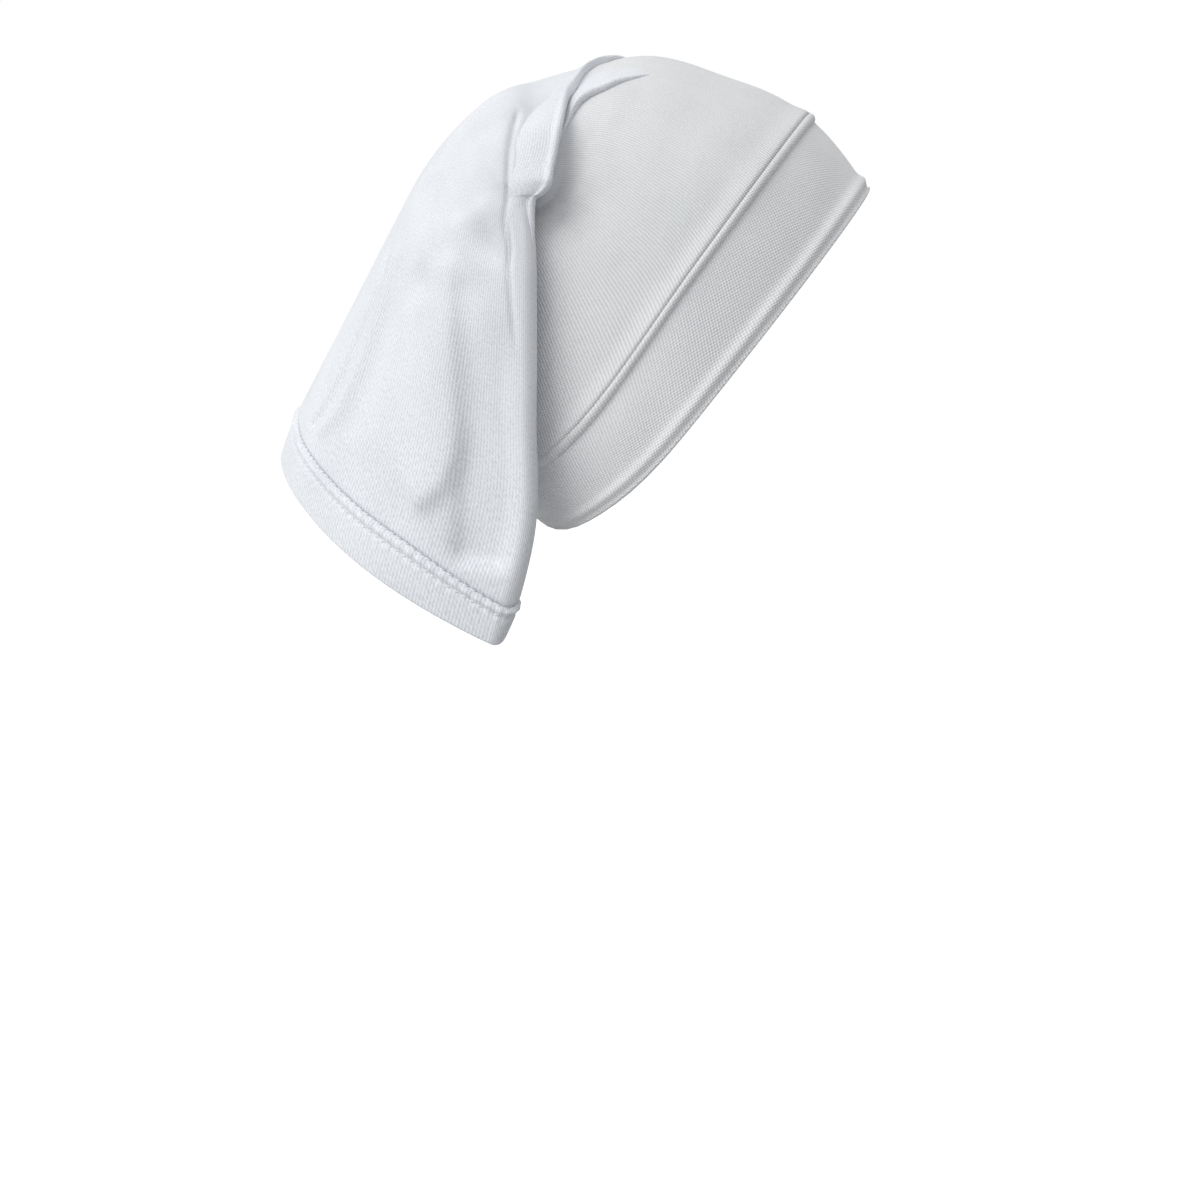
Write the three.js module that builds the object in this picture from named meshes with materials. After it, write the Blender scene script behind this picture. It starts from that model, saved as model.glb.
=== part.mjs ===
// Jersey tube undercap, in the form it takes on a head.
// Millimetres, +Z up, the face towards -Y, the wearer's right side towards -X.
// The origin is where the crown of the head bears on the inside of the cap.
import * as THREE from 'three';

// ---- Driving sizes -------------------------------------------------------
const WALL = 1.5;             // the jersey tube
const BAND_WALL = 2.4;        // the doubled band
const HEM_WALL = 2.2;         // the doubled hem
const PIECE_GAP = 0.45;       // between neighbouring pieces
const HEM_GAP = 0.8;          // wider, since the hem's corners are drawn up
const TUCK_WIDTH = 4.2;
const TUCK_RISE = 1.9;        // how far the tuck stands above the tube
const BAND_RISE = 0.5;
const HEM_RISE = 0.3;
const HEM_WIDTH = 17;
const HEM_CORNER = 4.0;       // how far each rounded corner of the hem is drawn up
const HEM_CORNER_AT = 93;     // degrees round the ring
const HEM_CORNER_SPAN = 7;
const TUCK_AT = 0.11;         // stations along the tube: 0 at the face, 1 at the hem's edge
const WHITE_JERSEY = 0xeceef4;

// ---- The form of the tube ------------------------------------------------
// Each section is a closed ring round the inside of the tube:
//   top    the middle of the wall that passes over the crown and becomes the tail's outer layer
//   side   the ring's widest point, half the ring's width from the middle
//   under  the middle of the wall at the nape, which turns over and becomes the inner layer
//   underDip and topDip  how far the ring sags between those points
//   nose   the radius of the fold where the outer and inner layers of the tail meet
//   farBack  how far the ring's left side point lies behind its right one
const COLUMNS = ['at', 'topY', 'topZ', 'half', 'sideY', 'sideZ', 'underY', 'underZ',
  'underDip', 'topDip', 'nose', 'farBack'];
const SECTIONS = [
  [0.00, -82, -43, 76, -10, -134, 50, -150, 32, 0, 0, 0],        // edge round the face
  [0.12, -57.5, -19, 77.5, -2, -96, 72, -126, 41, 0, 0, 0],      // near the tuck
  [0.26, -27.5, -6.5, 75.5, 12, -78, 86, -106, 14, 0, 0, 0],
  [0.38, 0, 0, 71, 24, -68, 90, -86, 0, 0, 0.5, 0],              // crown
  [0.48, 26.5, -5, 67, 29, -64, 89.5, -77, 0, 0, 1.5, 0],
  [0.53, 41, -10, 68.5, 32, -60.5, 90, -70.5, 0, 0, 2.2, 0],
  [0.56, 49, -13.5, 72.5, 35.5, -58, 93, -67.5, 0, 0, 2.5, 0],   // the turn
  [0.59, 57, -18, 76.5, 39, -60.5, 96, -70.5, 0, 0, 2.8, 0],
  [0.62, 65, -24, 79, 39.5, -65.5, 98, -76.5, 0, 0, 3, 1],
  [0.70, 81, -39, 81, 39, -79, 102, -88, 0, 0, 3, 3],
  [0.78, 94.5, -59, 82.5, 39, -98, 107, -99.5, 0, 0, 3, 6],
  [0.87, 112, -87, 83, 39.5, -131, 116, -113.5, 0, 2, 3.2, 10],
  [0.95, 132, -119.5, 84, 41, -171.5, 126.5, -131.5, 4, 6, 3.8, 16],
  [1.00, 143, -139, 86, 50, -205, 134.5, -146.5, 8, 9, 4.5, 22], // edge of the hem
].map((row) => Object.fromEntries(COLUMNS.map((name, k) => [name, row[k]])));

// Folds in the cloth, each a soft ridge (or a dent, with a rise below 0) from one place to
// another. A place is a station and an angle round the ring: 0 at the top, 90 at the side.
// The rise changes from end to end, and the slopes towards the face and the hem differ.
const FOLD_COLUMNS = ['at0', 'angle0', 'at1', 'angle1', 'rise0', 'rise1', 'faceSpread', 'hemSpread'];
const FOLDS = [
  [0.44, 20, 0.55, 84, 1.0, 3.6, 4, 9],       // the roll where the tail turns over the crown
  [0.38, 50, 0.485, 61, 0.5, 1.8, 3, 4],      // the narrow pleat in front of it
  [0.57, 63, 0.79, 79, -1.0, -0.6, 3, 3],     // valley beside the tail's edge
  [0.72, 72, 0.83, 66, -2.2, -1.2, 9, 9],     // hollow behind the valley
  [0.81, 46, 0.90, 66, 1.4, 2.0, 9, 9],       // swell that the lower tail turns over
  [0.90, 66, 0.98, 60, 2.0, 0.8, 9, 9],       // the same swell, down to the hem
  [0.72, 46, 0.95, 31, -0.8, -0.8, 5, 5],     // crease down the back of the tail
].map((row) => Object.fromEntries(FOLD_COLUMNS.map((name, k) => [name, row[k]])));
const MM_PER_STATION = 300;
const MM_PER_DEGREE = 1.3;

// The nose takes this much of the ring, either side of 90 degrees.
const NOSE_SPAN = 8;
const RADIANS = Math.PI / 180;

// A smooth value of every column at any station, by cubic steps between the rows.
function sectionAt(at) {
  const last = SECTIONS.length - 1;
  let k = 0;
  while (k < last - 1 && at > SECTIONS[k + 1].at) k += 1;
  const slope = (i, name) => {
    const rise = (a, b) => (SECTIONS[b][name] - SECTIONS[a][name]) / (SECTIONS[b].at - SECTIONS[a].at);
    if (i === 0) return rise(0, 1);
    if (i === last) return rise(last - 1, last);
    const before = SECTIONS[i].at - SECTIONS[i - 1].at;
    const after = SECTIONS[i + 1].at - SECTIONS[i].at;
    return (rise(i - 1, i) * after + rise(i, i + 1) * before) / (before + after);
  };
  const step = SECTIONS[k + 1].at - SECTIONS[k].at;
  const t = (at - SECTIONS[k].at) / step;
  const section = {};
  for (const name of COLUMNS) {
    section[name] = (2 * t ** 3 - 3 * t ** 2 + 1) * SECTIONS[k][name]
      + (t ** 3 - 2 * t ** 2 + t) * step * slope(k, name)
      + (3 * t ** 2 - 2 * t ** 3) * SECTIONS[k + 1][name]
      + (t ** 3 - t ** 2) * step * slope(k + 1, name);
  }
  return section;
}

// The ring's point as a plain oval through top, side and under.
function ovalPoint(s, angle) {
  const over = Math.cos(angle * RADIANS);
  const out = Math.sin(angle * RADIANS);
  const [midY, midZ, dip] = over >= 0 ? [s.topY, s.topZ, s.topDip] : [s.underY, s.underZ, s.underDip];
  const w = Math.abs(over);
  return new THREE.Vector3(
    s.half * out,
    s.sideY + (midY - s.sideY) * w,
    s.sideZ + (midZ - s.sideZ) * w - 2 * dip * out * out * w,
  );
}

// The ring's point as a crescent: two layers that meet in a round nose at the side.
function crescentPoint(s, angle) {
  const forward = new THREE.Vector2(s.sideY - (s.topY + s.underY) / 2, s.sideZ - (s.topZ + s.underZ) / 2);
  forward.normalize();
  const noseY = s.sideY - forward.x * s.nose;
  const noseZ = s.sideZ - forward.y * s.nose;
  const fromSide = angle - 90;
  if (Math.abs(fromSide) < NOSE_SPAN) {
    const turn = (fromSide / NOSE_SPAN) * Math.PI / 2;
    return new THREE.Vector3(
      s.half - s.nose - s.nose * Math.sin(turn),
      noseY + forward.x * s.nose * Math.cos(turn),
      noseZ + forward.y * s.nose * Math.cos(turn),
    );
  }
  const outer = fromSide < 0;
  const sweep = (outer ? angle : 180 - angle) / (90 - NOSE_SPAN) * Math.PI / 2;
  const w = Math.cos(sweep);
  const out = Math.sin(sweep);
  const [midY, midZ, dip] = outer ? [s.topY, s.topZ, s.topDip] : [s.underY, s.underZ, s.underDip];
  return new THREE.Vector3(
    (outer ? s.half : s.half - 2 * s.nose) * out,
    noseY + (midY - noseY) * w,
    noseZ + (midZ - noseZ) * w - 2 * dip * out * out * w,
  );
}

// A point of the inside of the tube before its folds. Angles run from -180 to 180.
function plainPoint(at, angle) {
  const s = sectionAt(at);
  const round = Math.abs(angle);
  if (angle > 0) s.sideY += s.farBack;
  const point = ovalPoint(s, round);
  point.lerp(crescentPoint(s, round), THREE.MathUtils.smoothstep(at, 0.40, 0.60));
  if (angle < 0) point.x *= -1;
  return point;
}

// The unfolded tube's directions at a place, in mm per station and per degree.
function directionsAt(at, angle) {
  const step = 0.002;
  const turn = 0.6;
  const along = plainPoint(at + step, angle).sub(plainPoint(at - step, angle));
  const around = plainPoint(at, angle + turn).sub(plainPoint(at, angle - turn));
  return { along: along.divideScalar(2 * step), around: around.divideScalar(2 * turn) };
}

// The outward normal of the unfolded tube.
function normalAt(at, angle) {
  const { along, around } = directionsAt(at, angle);
  return around.cross(along).normalize();
}

// How far the folds lift the cloth at a place on the ring. They fade out before the side.
function foldRise(at, angle) {
  const place = new THREE.Vector3(at * MM_PER_STATION, Math.abs(angle) * MM_PER_DEGREE, 0);
  let rise = 0;
  for (const fold of FOLDS) {
    const line = new THREE.Line3(
      new THREE.Vector3(fold.at0 * MM_PER_STATION, fold.angle0 * MM_PER_DEGREE, 0),
      new THREE.Vector3(fold.at1 * MM_PER_STATION, fold.angle1 * MM_PER_DEGREE, 0),
    );
    const along = line.closestPointToPointParameter(place, true);
    const near = line.at(along, new THREE.Vector3());
    const spread = place.x < near.x ? fold.faceSpread : fold.hemSpread;
    const height = THREE.MathUtils.lerp(fold.rise0, fold.rise1, along);
    rise += height * Math.exp(-((near.distanceTo(place) / spread) ** 2));
  }
  return rise * (1 - THREE.MathUtils.smoothstep(Math.abs(angle), 72, 86));
}

// Angles round the ring: even steps on each arc, closer ones round the noses.
function anglesRound(topSteps, noseSteps, underSteps) {
  const half = [];
  const noseStart = 90 - NOSE_SPAN;
  for (let k = 0; k < topSteps; k += 1) half.push((k / topSteps) * noseStart);
  for (let k = 0; k < noseSteps; k += 1) half.push(noseStart + (k / noseSteps) * 2 * NOSE_SPAN);
  for (let k = 0; k < underSteps; k += 1) half.push(90 + NOSE_SPAN + (k / underSteps) * noseStart);
  const right = half.slice(1).map((angle) => -angle);
  return [...half, 180, ...right.reverse()];
}
const ANGLES = anglesRound(12, 4, 8);

// How far the hem is drawn up at its rounded corners.
function cornerDrawnUp(angle) {
  return HEM_CORNER * Math.exp(-(((Math.abs(angle) - HEM_CORNER_AT) / HEM_CORNER_SPAN) ** 2));
}

// A solid swept round the ring. Each profile point is a station, a lift off the tube's
// inside and a shift along it, in mm, and the profile closes on itself.
function sweep(profile) {
  const positions = [];
  for (const { at, lift, shift } of profile) {
    for (const angle of ANGLES) {
      const { along, around } = directionsAt(at, angle);
      const perStation = along.cross(around.normalize()).length();
      const corner = at === 1 ? cornerDrawnUp(angle) : 0;
      const station = at + (shift - corner) / perStation;
      const point = plainPoint(station, angle);
      point.addScaledVector(normalAt(station, angle), lift + foldRise(station, angle));
      positions.push(point.x, point.y, point.z);
    }
  }
  const index = [];
  const round = ANGLES.length;
  for (let i = 0; i < profile.length; i += 1) {
    const next = ((i + 1) % profile.length) * round;
    for (let j = 0; j < round; j += 1) {
      const [a, b] = [i * round + j, i * round + ((j + 1) % round)];
      const [c, d] = [next + j, next + ((j + 1) % round)];
      index.push(a, b, c, b, d, c);
    }
  }
  const geometry = new THREE.BufferGeometry();
  geometry.setAttribute('position', new THREE.Float32BufferAttribute(positions, 3));
  geometry.setIndex(index);
  geometry.computeVertexNormals();
  return geometry;
}

// The profile of a wall through a list of places, outside first and then back along the inside.
// The rise is how far its outside stands above the tube's outside.
function wallProfile(places, rise, wall) {
  const lift = WALL + rise;
  const outside = places.map((place) => ({ ...place, lift }));
  const inside = places.map((place) => ({ ...place, lift: lift - wall })).reverse();
  return [...outside, ...inside];
}

// Places a given distance along the tube from one station.
function placesFrom(at, shifts) {
  return shifts.map((shift) => ({ at, shift }));
}

// Places at even steps from one station to another, both included.
function evenPlaces(from, to, steps) {
  return Array.from({ length: steps + 1 }, (_, k) => ({ at: from + ((to - from) * k) / steps, shift: 0 }));
}

const jersey = () => new THREE.MeshStandardMaterial({ color: WHITE_JERSEY, roughness: 0.85, metalness: 0 });
const cap = new THREE.Group();
function addPiece(name, geometry) {
  const mesh = new THREE.Mesh(geometry, jersey());
  mesh.name = name;
  cap.add(mesh);
}

// ---- front_band: doubled jersey, turned back round the face, with a round fold ----
const bandFold = BAND_WALL / 2;
const tuckHalf = TUCK_WIDTH / 2;
const band = wallProfile([
  ...placesFrom(0, [bandFold]),
  ...evenPlaces(0.03, 0.08, 2),
  ...placesFrom(TUCK_AT, [-tuckHalf - PIECE_GAP]),
], BAND_RISE, BAND_WALL);
band.push({ at: 0, lift: WALL + BAND_RISE - bandFold, shift: 0 });
addPiece('front_band', sweep(band));

// ---- tuck_ridge: the raised tuck that joins the band to the tube ----
const tuckTop = WALL + TUCK_RISE;
const tuckSide = WALL + TUCK_RISE * 0.55;
addPiece('tuck_ridge', sweep([
  { at: TUCK_AT, lift: 0, shift: -tuckHalf },
  { at: TUCK_AT, lift: tuckSide, shift: -tuckHalf },
  { at: TUCK_AT, lift: tuckTop, shift: -tuckHalf * 0.4 },
  { at: TUCK_AT, lift: tuckTop, shift: tuckHalf * 0.4 },
  { at: TUCK_AT, lift: tuckSide, shift: tuckHalf },
  { at: TUCK_AT, lift: 0, shift: tuckHalf },
]));

// ---- tail_hem: the turned-up end of the tail ----
const hemPlaces = placesFrom(1, [-HEM_WIDTH, -HEM_WIDTH * 2 / 3, -HEM_WIDTH / 3, 0]);
addPiece('tail_hem', sweep(wallProfile(hemPlaces, HEM_RISE, HEM_WALL)));

// ---- crown_tube: one jersey tube, over the crown, round the turn and down to the hem ----
addPiece('crown_tube', sweep(wallProfile([
  ...placesFrom(TUCK_AT, [tuckHalf + PIECE_GAP]),
  ...evenPlaces(0.145, 0.45, 8),
  ...evenPlaces(0.462, 0.64, 13),
  ...evenPlaces(0.67, 0.93, 7),
  ...placesFrom(1, [-HEM_WIDTH - HEM_GAP]),
], 0, WALL)));

export default cap;
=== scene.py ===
import math

import bmesh
import bpy
import numpy as np
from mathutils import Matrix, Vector


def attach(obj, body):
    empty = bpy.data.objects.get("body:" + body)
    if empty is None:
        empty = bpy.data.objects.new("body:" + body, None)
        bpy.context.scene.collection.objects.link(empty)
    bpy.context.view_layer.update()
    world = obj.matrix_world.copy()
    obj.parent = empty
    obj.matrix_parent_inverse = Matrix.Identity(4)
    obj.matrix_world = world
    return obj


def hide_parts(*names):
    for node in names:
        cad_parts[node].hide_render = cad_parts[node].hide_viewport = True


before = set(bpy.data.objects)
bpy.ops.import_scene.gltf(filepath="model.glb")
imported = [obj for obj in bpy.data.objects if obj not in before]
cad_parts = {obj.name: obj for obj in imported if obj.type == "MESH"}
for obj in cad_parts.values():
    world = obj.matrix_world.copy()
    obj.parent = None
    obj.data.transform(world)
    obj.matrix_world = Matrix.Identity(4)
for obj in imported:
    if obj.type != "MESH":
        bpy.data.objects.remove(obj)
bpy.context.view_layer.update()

# ---- Camera ------------------------------------------------------------------------------
# The cap is seen from the wearer's right, from a little above, at arm's length.
CAMERA_AT = (-0.354, 0.018, -0.146)
CAMERA_DOWN = 9.1             # degrees below level
camera = bpy.data.objects.new("camera", bpy.data.cameras.new("camera"))
camera.location = CAMERA_AT
camera.rotation_euler = (math.radians(90 - CAMERA_DOWN), 0, math.radians(-90))
camera.data.sensor_width = 36
camera.data.lens = 25.53
camera.data.clip_start = 0.01
bpy.context.collection.objects.link(camera)
bpy.context.scene.camera = camera

# ---- The jersey tube: crown and tail -----------------------------------------------------
# One seamless tube of white viscose jersey. It is pulled over the crown, folds over behind it
# and hangs down as two layers. Everything that rings the head is a strip of this tube.
MM = 0.001
TUBE_LENGTH = 0.300           # from the edge round the face to the edge of the hem
TUBE_ROUND = 0.480            # its girth as worn
CLOTH_OUTSIDE = 0.0015        # how far the cloth's outside stands off the sections below
TUCK_AT = 0.11                # stations along the tube: 0 at the face, 1 at the hem's edge

# Sections round the tube, at stations along it. In millimetres, Y back and Z up from the
# origin: top is the wall over the crown, half its half width, side the widest point and under
# the wall at the nape. The dips sag between them, nose is the radius of the tail's rounded
# side edge, and farBack sets the wearer's left side back.
COLUMNS = ("at", "topY", "topZ", "half", "sideY", "sideZ", "underY", "underZ",
           "underDip", "topDip", "nose", "farBack")
SECTIONS = np.array([
    (0.00, -82.0, -43.0, 76.0, -10.0, -134.0, 50.0, -150.0, 32, 0, 0.0, 0),
    (0.12, -57.5, -19.0, 77.5, -2.0, -96.0, 72.0, -126.0, 41, 0, 0.0, 0),
    (0.26, -27.5, -6.5, 75.5, 12.0, -78.0, 86.0, -106.0, 14, 0, 0.0, 0),
    (0.38, 0.0, 0.0, 71.0, 24.0, -68.0, 90.0, -86.0, 0, 0, 0.5, 0),
    (0.48, 26.5, -5.0, 67.0, 32.5, -64.0, 89.5, -77.0, 0, 0, 1.5, 0),
    (0.53, 41.0, -10.0, 68.5, 36.0, -60.5, 90.0, -70.5, 0, 0, 2.2, 0),
    (0.56, 49.0, -13.5, 72.5, 37.5, -58.0, 93.0, -67.5, 0, 0, 2.5, 0),
    (0.59, 57.0, -18.0, 76.5, 39.0, -60.5, 96.0, -70.5, 0, 0, 2.8, 0),
    (0.62, 65.0, -24.0, 79.0, 39.5, -65.5, 98.0, -76.5, 0, 0, 3.0, 1),
    (0.70, 81.0, -39.0, 81.0, 39.0, -79.0, 102.0, -88.0, 0, 0, 3.0, 3),
    (0.78, 94.5, -59.0, 82.5, 39.0, -98.0, 107.0, -99.5, 0, 0, 3.0, 6),
    (0.87, 112.0, -87.0, 83.0, 39.5, -131.0, 116.0, -113.5, 0, 2, 3.2, 10),
    (0.95, 132.0, -119.5, 84.0, 41.0, -171.5, 126.5, -131.5, 4, 6, 3.8, 16),
    (1.00, 143.0, -139.0, 86.0, 50.0, -205.0, 134.5, -146.5, 8, 9, 4.5, 22),
])
NOSE_SPAN = 8.0               # degrees that the nose takes either side of 90
OVAL_TO, CRESCENT_FROM = 0.46, 0.60    # sections change between these from oval to crescent


def smoothstep(x, low, high):
    t = np.clip((x - low) / (high - low), 0, 1)
    return t * t * (3 - 2 * t)


def section_at(at):
    """Every column of the table at any station, by cubic steps between its rows, in metres."""
    stations, values = SECTIONS[:, 0], SECTIONS[:, 1:]
    steps = np.diff(stations)
    rises = np.diff(values, axis=0) / steps[:, None]
    slopes = np.vstack([rises[:1], np.zeros((len(steps) - 1, values.shape[1])), rises[-1:]])
    before, after = steps[:-1, None], steps[1:, None]
    slopes[1:-1] = (rises[:-1] * after + rises[1:] * before) / (before + after)
    k = np.clip(np.searchsorted(stations, at) - 1, 0, len(steps) - 1)
    step = steps[k][..., None]
    t = (at - stations[k])[..., None] / step
    made = ((2 * t**3 - 3 * t**2 + 1) * values[k] + (t**3 - 2 * t**2 + t) * step * slopes[k]
            + (3 * t**2 - 2 * t**3) * values[k + 1] + (t**3 - t**2) * step * slopes[k + 1])
    return {name: made[..., i] * MM for i, name in enumerate(COLUMNS[1:])}


def ring_point(at, angle):
    """A place on one of the sections. Angle 0 is the top, +-90 the sides and 180 the nape."""
    at, angle = np.broadcast_arrays(np.asarray(at, float), np.asarray(angle, float))
    s = section_at(at)
    side_y = s["sideY"] + np.where(angle > 0, s["farBack"], 0)
    turned = np.radians(np.abs(angle))
    over, out = np.cos(turned), np.sin(turned)

    def arc(is_top, over, out, base_y, base_z, half):
        """One half of a section, from its sides to its middle over the crown or at the nape."""
        mid_y = np.where(is_top, s["topY"], s["underY"])
        mid_z = np.where(is_top, s["topZ"], s["underZ"])
        dip = np.where(is_top, s["topDip"], s["underDip"])
        return np.stack([half * out, base_y + (mid_y - base_y) * over,
                         base_z + (mid_z - base_z) * over - 2 * dip * out**2 * over], -1)

    oval = arc(over >= 0, np.abs(over), out, side_y, s["sideZ"], s["half"])
    forward_y = side_y - (s["topY"] + s["underY"]) / 2
    forward_z = s["sideZ"] - (s["topZ"] + s["underZ"]) / 2
    length = np.hypot(forward_y, forward_z)
    forward_y, forward_z = forward_y / length, forward_z / length
    nose_y, nose_z = side_y - forward_y * s["nose"], s["sideZ"] - forward_z * s["nose"]
    from_side = np.abs(angle) - 90
    outer = from_side < 0
    swept = np.where(outer, np.abs(angle), 180 - np.abs(angle)) / (90 - NOSE_SPAN) * math.pi / 2
    crescent = arc(outer, np.cos(swept), np.sin(swept), nose_y, nose_z,
                   np.where(outer, s["half"], s["half"] - 2 * s["nose"]))
    turn = np.clip(from_side / NOSE_SPAN, -1, 1) * math.pi / 2
    nose = np.stack([s["half"] - s["nose"] - s["nose"] * np.sin(turn),
                     nose_y + forward_y * s["nose"] * np.cos(turn),
                     nose_z + forward_z * s["nose"] * np.cos(turn)], -1)
    crescent = np.where((np.abs(from_side) < NOSE_SPAN)[..., None], nose, crescent)
    point = oval + (crescent - oval) * smoothstep(at, OVAL_TO, CRESCENT_FROM)[..., None]
    point[..., 0] *= np.where(angle < 0, -1, 1)
    return point


SOFTENED = ((-12, 1), (-6, 4), (0, 6), (6, 4), (12, 1))     # degrees and weights
SOFT_TO, PLAIN_FROM = 0.42, 0.53      # between these stations the softening fades out


def tube_point(at, angle):
    """The inside of the tube before its folds, its crown softened where two half sections meet."""
    at, angle = np.broadcast_arrays(np.asarray(at, float), np.asarray(angle, float))
    point = ring_point(at, angle)
    soft = sum(weight * ring_point(at, (angle + turn + 180) % 360 - 180)
               for turn, weight in SOFTENED) / sum(weight for _, weight in SOFTENED)
    return point + (soft - point) * (1 - smoothstep(at, SOFT_TO, PLAIN_FROM))[..., None]


def unit(v):
    return v / np.maximum(np.linalg.norm(v, axis=-1, keepdims=True), 1e-12)


SMALL_STEP, SMALL_TURN = 0.0015, 0.4  # a station and an angle over which the cloth is straight


def directions(at, angle):
    """The unit directions along the tube, round it and out of it."""
    along = tube_point(at + SMALL_STEP, angle) - tube_point(at - SMALL_STEP, angle)
    around = tube_point(at, angle + SMALL_TURN) - tube_point(at, angle - SMALL_TURN)
    return unit(along), unit(around), unit(np.cross(around, along))


STRIDE = 0.01                 # stations over which the cloth's length is measured


def moved_along(at, angle, distance):
    """The station at a distance along the cloth from a station, towards the hem."""
    length = np.linalg.norm(tube_point(at, angle) - tube_point(at - STRIDE, angle), axis=-1)
    return at + distance * STRIDE / length


# The folds that the cloth falls into, each along a line of places (station, degrees from the
# top) on both sides of the head. In millimetres, rise is its height at the line's start and
# end, below zero for a valley, spread is how far it reaches to the line's right, towards the
# face or the side edge, and to its left, and fade is how far it takes to appear and to go.
FOLDS = [
    dict(name="swell under the tail's edge", rise=(2.0, 4.0), spread=(11, 14), fade=(20, 30),
         places=[(0.440, 97), (0.415, 100), (0.382, 102), (0.344, 104), (0.312, 106),
                 (0.285, 108), (0.262, 110)]),
    dict(name="hollow under the roll", rise=(-1.8, -2.4), spread=(9, 8.5), fade=(9, 52),
         places=[(0.592, 85), (0.606, 88), (0.660, 88), (0.710, 88), (0.755, 88)]),
    dict(name="crease beside the edge", rise=(-0.9, -0.7), spread=(0.9, 0.9), fade=(8, 12),
         places=[(0.556, 56), (0.574, 64), (0.592, 69.5), (0.612, 73), (0.632, 75), (0.648, 76),
                 (0.674, 76), (0.700, 76), (0.728, 78), (0.758, 78), (0.786, 79), (0.812, 80),
                 (0.834, 81)]),
    dict(name="cloth falling away to the edge", rise=(-0.8, -2.8), spread=(4.5, 12), fade=(26, 6),
         places=[(0.800, 75), (0.840, 76), (0.880, 77), (0.912, 78), (0.940, 78.5), (0.972, 79)]),
    dict(name="brow over the hollow", rise=(0.9, 1.6), spread=(4, 8), fade=(6, 6),
         places=[(0.770, 56), (0.746, 62), (0.708, 69), (0.672, 74)]),
    dict(name="hollow", rise=(-2.4, -2.0), spread=(9, 8), fade=(7, 9),
         places=[(0.722, 75), (0.748, 70), (0.776, 66)]),
    dict(name="second hollow", rise=(-1.4, -1.4), spread=(5, 6), fade=(8, 10),
         places=[(0.800, 50), (0.818, 53), (0.838, 56)]),
    dict(name="narrow valley out of it", rise=(-0.6, -0.4), spread=(2.0, 2.6), fade=(9, 10),
         places=[(0.836, 54), (0.866, 58), (0.890, 61)]),
    dict(name="long ridge down the tail", rise=(1.3, 2.4), spread=(4.0, 12), fade=(8, 7),
         places=[(0.776, 58), (0.800, 61), (0.828, 63), (0.857, 65), (0.888, 67), (0.912, 68),
                 (0.932, 67), (0.947, 65), (0.961, 61)]),
    dict(name="trough beside the ridge", rise=(-0.9, -2.0), spread=(8, 3.4), fade=(8, 6),
         places=[(0.790, 63), (0.828, 66), (0.864, 68), (0.896, 70), (0.922, 71), (0.942, 71.5),
                 (0.960, 73), (0.976, 74)]),
    dict(name="upper streak", rise=(-0.5, -0.7), spread=(1.6, 2.2), fade=(8, 8),
         places=[(0.690, 44), (0.726, 46), (0.760, 47), (0.786, 46)]),
    dict(name="faint streak", rise=(-0.2, -0.2), spread=(2.2, 2.2), fade=(6, 8),
         places=[(0.650, 57), (0.692, 58), (0.728, 59)]),
    dict(name="fold towards the back", rise=(-1.5, -1.5), spread=(1.2, 2.6), fade=(10, 12),
         places=[(0.562, 44), (0.596, 42), (0.634, 39), (0.672, 37.5), (0.706, 35), (0.740, 33.5)]),
    dict(name="broad valley down the back", rise=(-0.7, -1.0), spread=(6, 6), fade=(12, 10),
         places=[(0.800, 40), (0.848, 43), (0.884, 44.5), (0.916, 44.5), (0.950, 44)]),
    dict(name="ridge down the back", rise=(1.1, 1.3), spread=(4, 2.2), fade=(14, 6),
         places=[(0.786, 35.5), (0.816, 38), (0.846, 39.5), (0.880, 40), (0.910, 39.5),
                 (0.934, 38), (0.960, 34)]),
    dict(name="crease down the back", rise=(-1.4, -1.5), spread=(1.1, 2.2), fade=(14, 5),
         places=[(0.790, 31), (0.820, 33.5), (0.850, 35), (0.880, 35), (0.910, 34.5),
                 (0.934, 33), (0.962, 29)]),
]
LINE_STEPS = 5                # straight steps between a fold's places
LEFT_SHIFT = (0.014, -3)      # the folds on the wearer's left are not quite those on the right
STATION_REACH = 0.08          # how far past its places a fold is worked out
TOP_REACH, NAPE_REACH = 25, 22        # and by how many degrees towards the top and the nape


def smooth_rows(table, steps):
    """A table's rows, with this many smooth steps from each to the next."""
    ends = np.vstack([2 * table[:1] - table[1:2], table, 2 * table[-1:] - table[-2:-1]])
    rows = [table[0]]
    for k in range(1, len(ends) - 2):
        a, b, c, d = ends[k - 1:k + 3]
        for t in np.arange(1, steps + 1) / steps:
            rows.append(0.5 * (2 * b + (c - a) * t + (2 * a - 5 * b + 4 * c - d) * t**2
                               + (3 * b - a - 3 * c + d) * t**3))
    return np.array(rows)


def fold_line(places, side):
    """A smooth line over the cloth through a fold's places, on one side of the head."""
    shift = LEFT_SHIFT if side > 0 else (0, 0)
    line = smooth_rows(np.array(places, float) + shift, LINE_STEPS)
    return tube_point(line[:, 0], side * line[:, 1])


def beside_line(line, side, points, out):
    """How far points lie from a line, below zero on its right, how far along, and its length."""
    steps = np.diff(line, axis=0)
    lengths = np.linalg.norm(steps, axis=1)
    starts = np.concatenate([[0], np.cumsum(lengths)])
    across, along = np.full(len(points), np.inf), np.zeros(len(points))
    for k, step in enumerate(steps):
        t = np.clip((points - line[k]) @ step / lengths[k]**2, 0, 1)
        gap = points - line[k] - t[:, None] * step
        far = np.linalg.norm(gap, axis=1)
        near = far < np.abs(across)
        left = side * unit(np.cross(out[near], step))
        across[near] = far[near] * np.where((gap[near] * left).sum(1) < 0, -1, 1)
        along[near] = starts[k] + t[near] * lengths[k]
    return across, along, starts[-1]


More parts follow.
